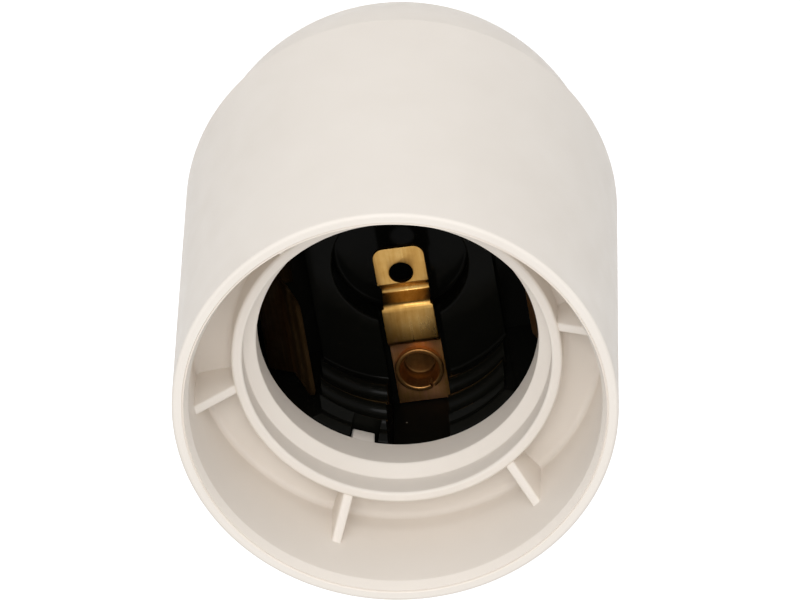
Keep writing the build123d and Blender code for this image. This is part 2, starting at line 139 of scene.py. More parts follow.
def grain(tree, scale, stretch=(1, 1, 1), detail=3.0, roughness=0.5):
    """Noise in the piece's own coordinates, stretched along its axes."""
    place = add_node(tree, "ShaderNodeTexCoord", {})
    mapping = add_node(tree, "ShaderNodeMapping", {"Vector": place["Object"], "Scale": stretch})
    noise = add_node(tree, "ShaderNodeTexNoise", {
        "Vector": mapping["Vector"], "Scale": scale, "Detail": detail, "Roughness": roughness,
    })
    return noise["Fac"]


def blend_colours(tree, factor, stops):
    """A colour ramp: stops are (place, colour)."""
    ramp = tree.nodes.new("ShaderNodeValToRGB")
    elements = ramp.color_ramp.elements
    while len(elements) < len(stops):
        elements.new(0.5)
    for element, (place, colour) in zip(elements, stops):
        element.position = place
        element.color = (*colour, 1)
    tree.links.new(factor, ramp.inputs["Fac"])
    return ramp.outputs["Color"]


def spread(tree, factor, low, high, from_low=0.3, from_high=0.7):
    """Maps a noise value to a range of roughness or height."""
    node = add_node(tree, "ShaderNodeMapRange", {
        "Value": factor, "From Min": from_low, "From Max": from_high, "To Min": low, "To Max": high,
    })
    return node["Result"]


def raise_grain(tree, shader, height, depth, strength):
    """Bump of a given depth in millimetres."""
    bump = add_node(tree, "ShaderNodeBump", {
        "Height": height, "Distance": depth * MM, "Strength": strength,
    })
    tree.links.new(bump["Normal"], shader.inputs["Normal"])


# %% [markdown]
# ## White and black mouldings
#
# The white thermoplastic is a warm white with a satin skin: broad, faint clouds in its colour, finer
# clouds in its gloss and a shallow grain from the mould. The black insert is glossy, so its gloss and
# its dust matter more than its colour. Dust is a Voronoi pattern cut to tiny discs, kept only where the
# cell's random number is high, so that a few specks lie about and the rest of the surface stays clean.
# The far end of the contact's slot came from an eroded part of the mould and is matt.

# %% White and black finishes
def white_moulding():
    material, tree, shader = new_finish("warm_white_moulding", Specular_IOR_Level=0.22)
    clouds = grain(tree, 90.0, detail=4.0)
    colour = blend_colours(tree, clouds, (
        (0.30, (0.846, 0.785, 0.716)),
        (0.55, (0.862, 0.802, 0.734)),
        (0.75, (0.875, 0.817, 0.750)),
    ))
    tree.links.new(colour, shader.inputs["Base Color"])
    tree.links.new(spread(tree, grain(tree, 420.0), 0.40, 0.52), shader.inputs["Roughness"])
    raise_grain(tree, shader, grain(tree, 5200.0, detail=2.0), 0.02, 0.22)
    return material


clean_share, speck_size = 0.93, 0.09
matt_past, matt_band = 15.6, 0.6
matt_roughness = 0.5


def black_moulding():
    material, tree, shader = new_finish("black_gloss_moulding", Specular_IOR_Level=0.045)
    place = add_node(tree, "ShaderNodeTexCoord", {})
    specks = add_node(tree, "ShaderNodeTexVoronoi", {"Vector": place["Object"], "Scale": 520.0})
    chance = add_node(tree, "ShaderNodeSeparateColor", {"Color": specks["Color"]})
    chosen = calc(tree, "GREATER_THAN", chance["Red"], clean_share)
    size = calc(tree, "MULTIPLY", chance["Green"], speck_size)
    dust = calc(tree, "MULTIPLY", calc(tree, "LESS_THAN", specks["Distance"], size), chosen)
    colour = blend_colours(tree, dust, (
        (0.0, (0.0045, 0.0045, 0.0035)),
        (1.0, (0.22, 0.20, 0.16)),
    ))
    tree.links.new(colour, shader.inputs["Base Color"])
    gloss = spread(tree, grain(tree, 380.0), 0.09, 0.15)
    at = add_node(tree, "ShaderNodeSeparateXYZ", {"Vector": place["Object"]})
    matt = spread(tree, at["Y"], 0.0, matt_roughness, matt_past * MM, (matt_past + matt_band) * MM)
    rough = calc(tree, "ADD", matt, calc(tree, "MULTIPLY", dust, matt_roughness))
    tree.links.new(calc(tree, "ADD", gloss, rough), shader.inputs["Roughness"])
    raise_grain(tree, shader, grain(tree, 2400.0, detail=2.0), 0.012, 0.15)
    return material


white_plastic = white_moulding()
black_plastic = black_moulding()
print("mouldings", white_plastic.name, black_plastic.name)

# %% [markdown]
# ## Brass and plated steel
#
# Contact brass is rolled strip: fine streaks along the rolling direction, and soft brown tarnish. Noise
# stretched along one axis makes the streaks. Lamps wipe the centre contact bright, while the rivet and
# the side contacts stay brown, so one function makes each state from three colours. The side contacts'
# darker colours are partly tarnish and partly painted shade. Two limits paint shade on the brass, darker
# and rougher: below a height, down in the rivet's bore and at the feet of the side contacts, and near
# the axis, where painted black on the tips of the side contacts hides their bright edges. A third limit
# browns and roughens the strip towards its riveted end.
#
# The screws, washers and the pipe bush are zinc plated, a cool grey with a fine mottle.

# %% Metal finishes
far = 100.0
brown = (0.54, 0.262, 0.128)
brown_band, brown_shift, brown_roughness = 3.5, 0.32, 1.6
limit_band, ragged_band, shade_level = 1.2, 0.6, 0.1
streak_share = 0.35


def rolled_brass(
    name, dark, middle, light, rough, smooth, shade_below=-far, black_within=-far, brown_past=far,
):
    """Streaked brass: painted shade below a height and within a distance of the YZ plane, brown past a
    Y.
    """
    material, tree, shader = new_finish(name, Metallic=1.0)
    streaks = grain(tree, 160.0, stretch=(22, 1.2, 22), detail=4.0)
    tarnish = grain(tree, 330.0, detail=5.0, roughness=0.6)
    streaked = calc(tree, "MULTIPLY", streaks, streak_share)
    mixed = calc(tree, "ADD", streaked, calc(tree, "MULTIPLY", tarnish, 1 - streak_share))
    place = add_node(tree, "ShaderNodeTexCoord", {})
    at = add_node(tree, "ShaderNodeSeparateXYZ", {"Vector": place["Object"]})
    brown_end = brown_past + brown_band
    browned = spread(tree, at["Y"], 0.0, brown_shift, brown_past * MM, brown_end * MM)
    tone = calc(tree, "SUBTRACT", mixed, browned)
    stops = ((0.10, brown), (0.32, dark), (0.50, middle), (0.68, light))
    colour = blend_colours(tree, tone, stops)
    roughness = spread(tree, mixed, rough, smooth)
    roughness = calc(tree, "MAXIMUM", roughness, calc(tree, "MULTIPLY", browned, brown_roughness))
    ragged = calc(tree, "MULTIPLY", tarnish, ragged_band * MM)
    # painted shade: darker and rougher below a height, and black near the YZ plane at the side contacts'
    # tips
    for distance, limit in ((at["Z"], shade_below), (calc(tree, "ABSOLUTE", at["X"]), black_within)):
        past_limit = calc(tree, "ADD", distance, ragged)
        unshaded = spread(tree, past_limit, shade_level, 1.0, limit * MM, (limit + limit_band) * MM)
        colour = add_node(tree, "ShaderNodeHueSaturation", {"Color": colour, "Value": unshaded})["Color"]
        roughness = calc(tree, "MAXIMUM", roughness, calc(tree, "SUBTRACT", 1.0, unshaded))
    tree.links.new(colour, shader.inputs["Base Color"])
    tree.links.new(roughness, shader.inputs["Roughness"])
    raise_grain(tree, shader, streaks, 0.006, 0.16)
    return material


def zinc_plate():
    material, tree, shader = new_finish("zinc_plate", Metallic=1.0)
    mottle = grain(tree, 900.0, detail=4.0, roughness=0.6)
    colour = blend_colours(tree, mottle, ((0.32, (0.50, 0.50, 0.48)), (0.68, (0.70, 0.69, 0.66))))
    tree.links.new(colour, shader.inputs["Base Color"])
    tree.links.new(spread(tree, mottle, 0.42, 0.26), shader.inputs["Roughness"])
    raise_grain(tree, shader, grain(tree, 3600.0, detail=2.0), 0.008, 0.2)
    return material


contact_brass = rolled_brass(
    "wiped_brass",
    dark=(0.41, 0.212, 0.050), middle=(0.53, 0.305, 0.088), light=(0.62, 0.400, 0.142),
    rough=0.36, smooth=0.25, brown_past=7.0,
)
# the rivet's bore is darkened below a height as painted shade
rivet_brass = rolled_brass(
    "rivet_brass",
    dark=(0.34, 0.150, 0.045), middle=(0.46, 0.225, 0.070), light=(0.56, 0.320, 0.110),
    rough=0.46, smooth=0.32, shade_below=33.3,
)
# the side contacts' darker colours are partly tarnish and partly painted shade; their feet and tips get
# painted shade too
side_brass = rolled_brass(
    "tarnished_and_shaded_brass",
    dark=(0.28, 0.145, 0.050), middle=(0.40, 0.225, 0.090), light=(0.52, 0.320, 0.145),
    rough=0.44, smooth=0.32, shade_below=36.4, black_within=10.9,
)
plated_steel = zinc_plate()
print("metals", contact_brass.name, side_brass.name, rivet_brass.name, plated_steel.name)

# %% [markdown]
# ## Turned shapes
#
# Shell, cap and insert are all turned: one section swept round the Z axis. The section is a list of
# corners, each with its own rounding, because a moulding has no knife edges and the small roundings are
# what catches the light. Two extra points beside each rounding hold the flat faces flat when the mesh
# is shaded smooth.

# %% Turning
round_steps = 4
hold = 0.1


def rounded(corners):
    """Section points for corners given as (radius, height, rounding)."""
    points = []
    for i, (r, z, rounding) in enumerate(corners):
        here = Vector((r, z))
        if rounding == 0:
            points.append(here)
            continue
        before = (Vector(corners[i - 1][:2]) - here).normalized()
        after = (Vector(corners[(i + 1) % len(corners)][:2]) - here).normalized()
        half = before.angle(after) / 2
        reach = rounding / math.tan(half)
        centre = here + (before + after).normalized() * rounding / math.sin(half)
        first = here + before * reach - centre
        last = here + after * reach - centre
        points.append(centre + first + before * hold)
        for step in range(round_steps + 1):
            share = step / round_steps
            points.append(centre + first.lerp(last, share).normalized() * rounding)
        points.append(centre + last + after * hold)
    return points


def arc(centre, radius, start, end, steps):
    """Section points along an arc, angles in degrees, ends left out."""
    angles = [math.radians(start + (end - start) * k / steps) for k in range(1, steps)]
    return [(centre[0] + radius * math.cos(a), centre[1] + radius * math.sin(a), 0) for a in angles]


def turn(section, segments):
    """A closed mesh turned round Z. A point on the axis becomes a single vertex."""
    shape = bmesh.new()
    angles = [2 * math.pi * k / segments for k in range(segments)]
    rings = []
    for r, z in section:
        ring = angles if r > 1e-6 else angles[:1]
        points = [Vector((r * math.cos(a), r * math.sin(a), z)) * MM for a in ring]
        rings.append([shape.verts.new(point) for point in points])
    for low, high in zip(rings, rings[1:] + rings[:1]):
        for k in range(segments):
            n = (k + 1) % segments
            corners = (low[k % len(low)], low[n % len(low)], high[n % len(high)], high[k % len(high)])
            corners = tuple(dict.fromkeys(corners))
            if len(corners) > 2:
                shape.faces.new(corners)
    bmesh.ops.recalc_face_normals(shape, faces=shape.faces)
    return shape


def shade(mesh, smooth_angle=35):
    """Smooth shading, except over edges sharper than the angle in degrees."""
    mesh.shade_smooth()
    mesh.set_sharp_from_angle(angle=math.radians(smooth_angle))


def piece(name, shape, material):
    """Makes an object of a bmesh."""
    mesh = bpy.data.meshes.new(name)
    shape.to_mesh(mesh)
    shape.free()
    mesh.materials.append(material)
    shade(mesh)
    obj = bpy.data.objects.new(name, mesh)
    scene.collection.objects.link(obj)
    return obj


def settle(obj, body, slot, *nodes):
    """The piece rides on its body and stands for its solids. Its slot is not used."""
    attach(obj, body)
    if nodes:
        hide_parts(*nodes)
    print(obj.name, "on", body, len(obj.data.polygons), "faces")


# %% [markdown]
# ## Shell
#
# The shell is the white skirt that the picture shows from its mouth: a thin rim with a chamfer inside,
# a deep channel, a collar round the lamp's bore and a sloped ledge inside the collar. A hairline groove
# parts the rim's end face from the chamfer. It is too narrow for a rounding, so its corners have none.

# %% Shell
seam_z, rim_z = 24.6, 65.0
seam_r, mouth_r, rear_in_r = 21.65, 22.0, 19.8
skirt_in_r, rim_chamfer = 20.4, 1.3
collar_out_r, ledge_r, lamp_bore_r = 16.4, 15.3, 14.0
channel_z, lip_z, web_z = 51.2, 55.3, 47.8
ledge_high_z, ledge_low_z = 52.5, 51.6
groove_r, groove_half, groove_depth = 20.95, 0.12, 0.2
shell_corners = [
    (seam_r, seam_z, 0.25),
    (mouth_r, rim_z, 0.35),
    (groove_r + groove_half, rim_z, 0),
    (groove_r, rim_z - groove_depth, 0),
    (groove_r - groove_half, rim_z - groove_depth / 3, 0),
    (skirt_in_r, rim_z - rim_chamfer, 0.3),
    (skirt_in_r, channel_z, 0.6),
    (collar_out_r, channel_z, 0.6),
    (collar_out_r, lip_z, 0.3),
    (ledge_r, lip_z, 0.3),
    (ledge_r, ledge_high_z, 0.2),
    (lamp_bore_r, ledge_low_z, 0.25),
    (lamp_bore_r, web_z, 0.2),
    (rear_in_r, web_z, 0.3),
    (rear_in_r, seam_z, 0.25),
]
shell_segments = 192
shell_body = piece("shell_body", turn(rounded(shell_corners), shell_segments), white_plastic)
settle(shell_body, "shell", "white_plastic", "shell")

# %% [markdown]
# ## Ribs, keys and lugs
#
# Six ribs stiffen the channel, three keys under the web hold the insert against turning, and two lugs
# hang down beside the lamp's thread. Each kind is one small block repeated round the axis, so one
# Geometry Nodes tree makes them all: it copies the block that it is given a number of times, each copy
# turned by an equal share of the circle. Rotating copies about the axis is simpler than placing points
# on a circle, because the block already lies at its own radius.

# %% Ring of copies
def new_tree(name, sizes):
    """An empty Geometry Nodes tree with named inputs, given as (name, socket type)."""
    tree = bpy.data.node_groups.new(name, "GeometryNodeTree")
    tree.interface.new_socket("Geometry", in_out="INPUT", socket_type="NodeSocketGeometry")
    for label, kind in sizes:
        tree.interface.new_socket(label, in_out="INPUT", socket_type=kind)
    tree.interface.new_socket("Geometry", in_out="OUTPUT", socket_type="NodeSocketGeometry")
    return tree, tree.nodes.new("NodeGroupInput").outputs, tree.nodes.new("NodeGroupOutput").inputs


def end_tree(tree, geometry, given, result):
    """Each tree ends in the same way: its copies become real and take the finish."""
    real = add_node(tree, "GeometryNodeRealizeInstances", {"Geometry": geometry})
    done = add_node(tree, "GeometryNodeSetMaterial", {
        "Geometry": real["Geometry"], "Material": given["Finish"],
    })
    tree.links.new(done["Geometry"], result["Geometry"])
    return tree


def keep_result(obj, smooth_angle=35):
    """Turns an object's modifiers into a plain mesh."""
    depsgraph = bpy.context.evaluated_depsgraph_get()
    mesh = bpy.data.meshes.new_from_object(obj.evaluated_get(depsgraph), depsgraph=depsgraph)
    obj.modifiers.clear()
    shade(mesh, smooth_angle)
    obj.data = mesh
    return obj


def run_tree(obj, tree, sizes, smooth_angle=35):
    """Sets a tree's inputs by identifier and keeps its result."""
    modifier = obj.modifiers.new(tree.name, "NODES")
    modifier.node_group = tree
    for item in tree.interface.items_tree:
        if item.in_out == "INPUT" and item.name in sizes:
            modifier[item.identifier] = sizes[item.name]
    return keep_result(obj, smooth_angle)


FLOAT, WHOLE = "NodeSocketFloat", "NodeSocketInt"
FINISH, OBJECT = "NodeSocketMaterial", "NodeSocketObject"


def ring_tree():
    tree, given, result = new_tree("ring_of_copies", (
        ("Count", WHOLE), ("First Angle", FLOAT), ("Finish", FINISH),
    ))
    points = add_node(tree, "GeometryNodePoints", {"Count": given["Count"]})
    index = add_node(tree, "GeometryNodeInputIndex", {})
    share = calc(tree, "DIVIDE", calc(tree, "MULTIPLY", index["Index"], 2 * math.pi), given["Count"])
    angle = calc(tree, "ADD", share, given["First Angle"])
    euler = add_node(tree, "ShaderNodeCombineXYZ", {"Z": angle})
    rotation = add_node(tree, "FunctionNodeEulerToRotation", {"Euler": euler["Vector"]})
    copies = add_node(tree, "GeometryNodeInstanceOnPoints", {
        "Points": points["Points"],
        "Instance": given["Geometry"],
        "Rotation": rotation["Rotation"],
    })
    return end_tree(tree, copies["Instances"], given, result)


ring_of_copies = ring_tree()
print("tree", ring_of_copies.name, len(ring_of_copies.nodes), "nodes")

# %% Ribs, keys and lugs
sink = 0.3


def upright_slab(outline, width, rounding):
    """A slab across Y with rounded edges. Its outline is a list of (radius, height)."""
    shape = bmesh.new()
    sides = []
    for y in (-width / 2, width / 2):
        sides.append([shape.verts.new(Vector((r, y, z)) * MM) for r, z in outline])
    shape.faces.new(sides[0])
    shape.faces.new(reversed(sides[1]))
    for i in range(len(outline)):
        j = (i + 1) % len(outline)
        shape.faces.new((sides[0][j], sides[0][i], sides[1][i], sides[1][j]))
    bmesh.ops.recalc_face_normals(shape, faces=shape.faces)
    bmesh.ops.bevel(
        shape, geom=shape.edges[:], offset=rounding * MM, segments=3, profile=0.5, affect="EDGES",
    )
    return shape


def box_outline(r_low, r_high, z_low, z_high):
    return [(r_low, z_low), (r_high, z_low), (r_high, z_high), (r_low, z_high)]


rib_angle, lug_angle = 4.1, 67.0
rib_high_z, rib_low_z = 58.05, lip_z - 0.4
key_in_r, key_low_z = 18.0, 33.6
lug_low_z = 46.0
rib_outline = [
    (collar_out_r - sink, channel_z - sink),
    (skirt_in_r + sink, channel_z - sink),
    (skirt_in_r + sink, rib_high_z),
    (collar_out_r - sink, rib_low_z),
]
key_outline = box_outline(key_in_r, rear_in_r + sink, key_low_z, web_z + sink)
lug_outline = box_outline(lamp_bore_r, ledge_r, lug_low_z, web_z + sink)
repeated = {
    "channel_ribs": (6, rib_angle, rib_outline, 1.0, 0.22),
    "insert_keys": (3, rib_angle, key_outline, 1.8, 0.2),
    "thread_lugs": (2, lug_angle, lug_outline, 2.3, 0.15),
}
for name, (count, first, outline, width, rounding) in repeated.items():
    master = piece(name, upright_slab(outline, width, rounding), white_plastic)
    sizes = {"Count": count, "First Angle": math.radians(first), "Finish": white_plastic}
    settle(run_tree(master, ring_of_copies, sizes), "shell", "white_plastic")

# %% [markdown]
# ## Cap
#
# The cap closes the back: a band behind the seam, a dome down to the neck, and a spigot that reaches up
# inside the shell. Its dome is a quarter arc, so the section mixes corners and arc points. The set
# screw's hole goes sideways through the neck, which turning can't make, so a Boolean cuts it.

# %% Cap
cap_r, dome_z, dome_r = 20.35, 24.0, 20.0
spigot_r, spigot_in_r, spigot_z = 19.4, 17.8, 33.0
neck_r, cavity_r = 8.5, 17.6
bush_hole_r, seat_r, seat_z = 6.25, 8.3, 8.375
dome_centre = (cap_r - dome_r, dome_z)
cavity_centre = (spigot_in_r - cavity_r, dome_z)
neck_angle = -math.degrees(math.acos((neck_r - dome_centre[0]) / dome_r))
neck_z = dome_z + dome_r * math.sin(math.radians(neck_angle))
seat_angle = -math.degrees(math.acos((seat_r - cavity_centre[0]) / cavity_r))
cap_corners = [
    (bush_hole_r, 0, 0.15),
    (neck_r, 0, 0.6),
    (neck_r, neck_z, 0.9),
    *arc(dome_centre, dome_r, neck_angle, 0, 24),
    (cap_r, dome_z, 0),
    (cap_r, seam_z, 0.35),
    (spigot_r, seam_z, 0.2),
    (spigot_r, spigot_z, 0.3),
    (spigot_in_r, spigot_z, 0.3),
    (spigot_in_r, dome_z, 0),
    *arc(cavity_centre, cavity_r, 0, seat_angle, 18),
    (seat_r, seat_z, 0),
    (bush_hole_r, seat_z, 0.15),
]
lock_y, lock_z, lock_hole_r, lock_hole_len = 6.5, 2.8, 1.55, 9
drill_place = Matrix.Translation(Vector((0, lock_y, lock_z)) * MM)
drill = bmesh.new()
bmesh.ops.create_cone(
    drill, cap_ends=True, segments=40,
    radius1=lock_hole_r * MM, radius2=lock_hole_r * MM, depth=lock_hole_len * MM,
    matrix=drill_place @ Matrix.Rotation(math.pi / 2, 4, "X"),
)
drill_piece = piece("lock_hole_drill", drill, white_plastic)


def cut_out(obj, cutter):
    """Cuts one piece's form out of another."""
    cut = obj.modifiers.new("cut", "BOOLEAN")
    cut.operation = "DIFFERENCE"
    cut.solver = "MANIFOLD"
    cut.object = cutter
    keep_result(obj)


cap_body = piece("cap_body", turn(rounded(cap_corners), shell_segments), white_plastic)
cut_out(cap_body, drill_piece)
settle(cap_body, "cap", "white_plastic", "cap")

# %% [markdown]
# ## Threads of the cap
#
# Shell and cap screw together by a coarse moulded thread, and a fine thread in the bush takes the pipe.
# A thread is a helix with a profile swept along it, so one tree makes them all: a spiral path whose
# normals are kept level, a small ring as the profile, and a scale that tapers both ends. The path is
# reversed, because a right-handed thread rises while it turns counterclockwise. A ring with many sides
# gives a rounded ridge, one with four sides a sharp one. The ring's centre lies on the wall, so half of
# the ridge is sunk in it. The shell's ridge starts half a pitch above the cap's and runs in its gap, at
# rest as well as while the shell is unscrewed.

# %% Ridge along a helix
taper_turns, end_size = 0.125, 0.1


def ridge_tree():
    tree, given, result = new_tree("helical_ridge", (
        ("Radius", FLOAT), ("Pitch", FLOAT), ("Turns", FLOAT), ("Thickness", FLOAT), ("Start", FLOAT),
        ("Sides", WHOLE), ("Finish", FINISH),
    ))
    path = add_node(tree, "GeometryNodeCurveSpiral", {
        "Resolution": 72,
        "Rotations": given["Turns"],
        "Start Radius": given["Radius"],
        "End Radius": given["Radius"],
        "Height": calc(tree, "MULTIPLY", given["Pitch"], given["Turns"]),
        "Reverse": True,
    })
    level = add_node(tree, "GeometryNodeSetCurveNormal", {"Curve": path["Curve"]}, mode="Z_UP")
    along = add_node(tree, "GeometryNodeSplineParameter", {})["Factor"]
    from_end = calc(tree, "MINIMUM", along, calc(tree, "SUBTRACT", 1.0, along))
    turns_from_end = calc(tree, "MULTIPLY", from_end, given["Turns"])
    taper = calc(tree, "MINIMUM", calc(tree, "DIVIDE", turns_from_end, taper_turns), 1.0)
    taper = calc(tree, "MAXIMUM", taper, end_size)
    profile = add_node(tree, "GeometryNodeCurvePrimitiveCircle", {
        "Resolution": given["Sides"],
        "Radius": given["Thickness"],
    })
    ridge = add_node(tree, "GeometryNodeCurveToMesh", {
        "Curve": level["Curve"],
        "Profile Curve": profile["Curve"],
        "Scale": taper,
        "Fill Caps": True,
    })
    lift = add_node(tree, "ShaderNodeCombineXYZ", {"Z": given["Start"]})
    placed = add_node(tree, "GeometryNodeTransform", {
        "Geometry": ridge["Mesh"], "Translation": lift["Vector"],
    })
    return end_tree(tree, placed["Geometry"], given, result)


helical_ridge = ridge_tree()
print("tree", helical_ridge.name, len(helical_ridge.nodes), "nodes")


# %% Threads of shell and cap
def thread_ridge(name, finish, radius, pitch, turns, thickness, start, sides):
    """A ridge on a wall of the given radius, from the height start upwards."""
    sizes = {"Turns": turns, "Sides": sides, "Finish": finish}
    lengths = {"Radius": radius, "Pitch": pitch, "Thickness": thickness, "Start": start}
    for label, length in lengths.items():
        sizes[label] = length * MM
    return run_tree(piece(name, bmesh.new(), finish), helical_ridge, sizes)


coarse_pitch, coarse_turns, coarse_ridge = 3.6, 1.7, 0.3
coarse_start = seam_z + 1.2
round_sides = 12
cap_thread = thread_ridge(
    "cap_thread", white_plastic, spigot_r, coarse_pitch, coarse_turns, coarse_ridge,
    coarse_start, round_sides,
)
settle(cap_thread, "cap", "white_plastic")
shell_thread = thread_ridge(
    "shell_thread", white_plastic, rear_in_r, coarse_pitch, coarse_turns, coarse_ridge,
    coarse_start + coarse_pitch / 2, round_sides,
)
settle(shell_thread, "shell", "white_plastic")

# %% Pipe bush and its thread
bush_r, flange_r, flange_z = 6.2, 8.0, seat_z + 1.6
entry_r, fine_pitch, fine_depth = 4.5, 1.0, 0.45
entry_chamfer, end_room = 0.5, 0.6
root_r = entry_r + fine_depth
bush_corners = [
    (root_r, entry_chamfer, 0.1),
    (root_r + entry_chamfer, 0, 0.1),
    (bush_r, 0, 0.15),
    (bush_r, seat_z, 0.1),
    (flange_r, seat_z, 0.2),
    (flange_r, flange_z, 0.2),
    (root_r, flange_z, 0.2),
]
bush_body = piece("bush_body", turn(rounded(bush_corners), 96), plated_steel)
fine_turns = (flange_z - 2 * end_room) / fine_pitch
sharp_sides = 4
bush_thread = thread_ridge(
    "bush_thread", plated_steel, root_r, fine_pitch, fine_turns, fine_depth, end_room, sharp_sides,
)
for obj, nodes in ((bush_body, ["entry_bush"]), (bush_thread, [])):
    cut_out(obj, drill_piece)
    settle(obj, "cap", "plated_steel", *nodes)
bpy.data.objects.remove(drill_piece)

# %% [markdown]
# ## Insert
#
# The black insert is a turned cup with the lamp's thread in its wall. The thread follows a rule: at
# every angle the wall stands in by the same rounded wave, moved up by one pitch for each turn. So the
# cup is turned with a fine straight wall first, and a Geometry Nodes tree pushes the wall's points in.
# The same tree then cuts the windows of the side contacts, the channel of the centre contact, the
# notches and slots for the shell, and the terminal chambers behind, with Boolean nodes.

# %% Insert: cup
insert_r, insert_rear_r = 19.0, 17.5
thread_root_r, thread_depth, thread_pitch = 13.35, 1.05, 3.629
back_z, deck_z, recess_z, groove_z = 25.1, 31.1, 32.7, 34.5
floor_z, top_z = 36.2, 47.6
top_chamfer = 0.7
recess_r = 6.8
wall_steps = 78
wall_margin = 0.5
wall_low, wall_high = floor_z + wall_margin, top_z - top_chamfer - wall_margin
wall_step = (wall_low - wall_high) / wall_steps
wall = [(thread_root_r, wall_high + wall_step * k, 0) for k in range(wall_steps + 1)]
cup_corners = [
    (0, back_z, 0),
    (insert_rear_r, back_z, 0.3),
    (insert_rear_r, spigot_z, 0.2),
    (insert_r, spigot_z, 0.2),
    (insert_r, top_z, 0.6),
    (thread_root_r + top_chamfer, top_z, 0.3),
    (thread_root_r, top_z - top_chamfer, 0.3),
    *wall,
    (thread_root_r, floor_z, 0.3),
    (recess_r, floor_z, 0.2),
    (recess_r, recess_z, 0.3),
    (0, recess_z, 0),
]
insert_segments = 240
insert_body = piece("insert_body", turn(rounded(cup_corners), insert_segments), black_plastic)
print("cup", len(insert_body.data.polygons), "faces")

# %% Insert: forms for the cuts
over = 1.0


def prism(shape, outline, low, high):
    """Adds an upright prism to a bmesh. The outline runs counterclockwise."""
    rings = [[shape.verts.new(Vector((x, y, z)) * MM) for x, y in outline] for z in (low, high)]
    shape.faces.new(reversed(rings[0]))
    shape.faces.new(rings[1])
    for i in range(len(outline)):
        j = (i + 1) % len(outline)
        shape.faces.new((rings[0][i], rings[0][j], rings[1][j], rings[1][i]))


def oblong(x0, x1, half_w, angle=0.0):
    """A rectangle along X, turned about the axis."""
    c, s = math.cos(math.radians(angle)), math.sin(math.radians(angle))
    corners = ((x0, -half_w), (x1, -half_w), (x1, half_w), (x0, half_w))
    return [(x * c - y * s, x * s + y * c) for x, y in corners]


def arc_points(centre, radius, start, end, steps):
    angles = [math.radians(start + (end - start) * k / steps) for k in range(steps + 1)]
    return [(centre[0] + radius * math.cos(a), centre[1] + radius * math.sin(a)) for a in angles]


def disc(centre, radius):
    return arc_points(centre, radius, 0, 360, 40)[:-1]


# %% Insert: openings at the front
window_in_x, window_out_x, window_half = 9.2, 15.2, 9.7
slot_half, slot_end_y = 3.15, 16.75
notch_in, notch_out, notch_half, notch_depth = 11.9, 15.6, 1.45, 2.1
key_slot_in, key_slot_half = 17.7, 1.2
front = bmesh.new()
for angle in (0, 180):
    prism(front, oblong(window_in_x, window_out_x, window_half, angle), groove_z, top_z + over)
prism(front, oblong(0, slot_end_y, slot_half, 90), groove_z, top_z + over)
for angle in (lug_angle, lug_angle + 180):
    prism(front, oblong(notch_in, notch_out, notch_half, angle), top_z - notch_depth, top_z + over)
for angle in (rib_angle, rib_angle + 120, rib_angle + 240):
    key_slot = oblong(key_slot_in, insert_r + over, key_slot_half, angle)
    prism(front, key_slot, spigot_z - over, top_z + over)
front_openings = piece("front_openings", front, black_plastic)
print("cutter", front_openings.name, len(front_openings.data.polygons), "faces")

# %% Insert: chambers and holes behind
rivet_y, contact_rivet_x, contact_rivet_y = 12.7, 12.4, -2.8
screw_ring_r, line_screw_angle = 12.4, math.radians(128)
line_screw = (screw_ring_r * math.cos(line_screw_angle), screw_ring_r * math.sin(line_screw_angle))
neutral_screw = (0, -screw_ring_r)
chamber_r = 3.5
run_angle = math.degrees(math.atan2(line_screw[1] - rivet_y, line_screw[0]))
ring_in, ring_out, ring_end_y = 8.6, 16.2, 2.25
in_angle = math.degrees(math.asin(ring_end_y / ring_in))
out_angle = math.degrees(math.asin(ring_end_y / ring_out))
rear = bmesh.new()
line_chamber = arc_points((0, rivet_y), chamber_r, run_angle - 270, run_angle - 90, 24)
line_chamber += arc_points(line_screw, chamber_r, run_angle - 90, run_angle + 90, 24)
prism(rear, line_chamber, back_z - over, deck_z)
half_ring = arc_points((0, 0), ring_out, -180 - out_angle, out_angle, 72)
half_ring += arc_points((0, 0), ring_in, in_angle, -180 - in_angle, 48)
prism(rear, half_ring, back_z - over, deck_z)
rear_chambers = piece("rear_chambers", rear, black_plastic)

rivet_hole_r, contact_rivet_hole_r = 2.0, 1.05
screw_hole_r, screw_hole_depth = 2.45, 2.6
holes = bmesh.new()
prism(holes, disc((0, rivet_y), rivet_hole_r), deck_z - over, groove_z + over / 2)
for x in (contact_rivet_x, -contact_rivet_x):
    hole = disc((x, contact_rivet_y), contact_rivet_hole_r)
    prism(holes, hole, deck_z - over, groove_z + over / 2)
for centre in (line_screw, neutral_screw):
    prism(holes, disc(centre, screw_hole_r), deck_z - over, deck_z + screw_hole_depth)
deck_holes = piece("deck_holes", holes, black_plastic)
print("cutters", rear_chambers.name, deck_holes.name)

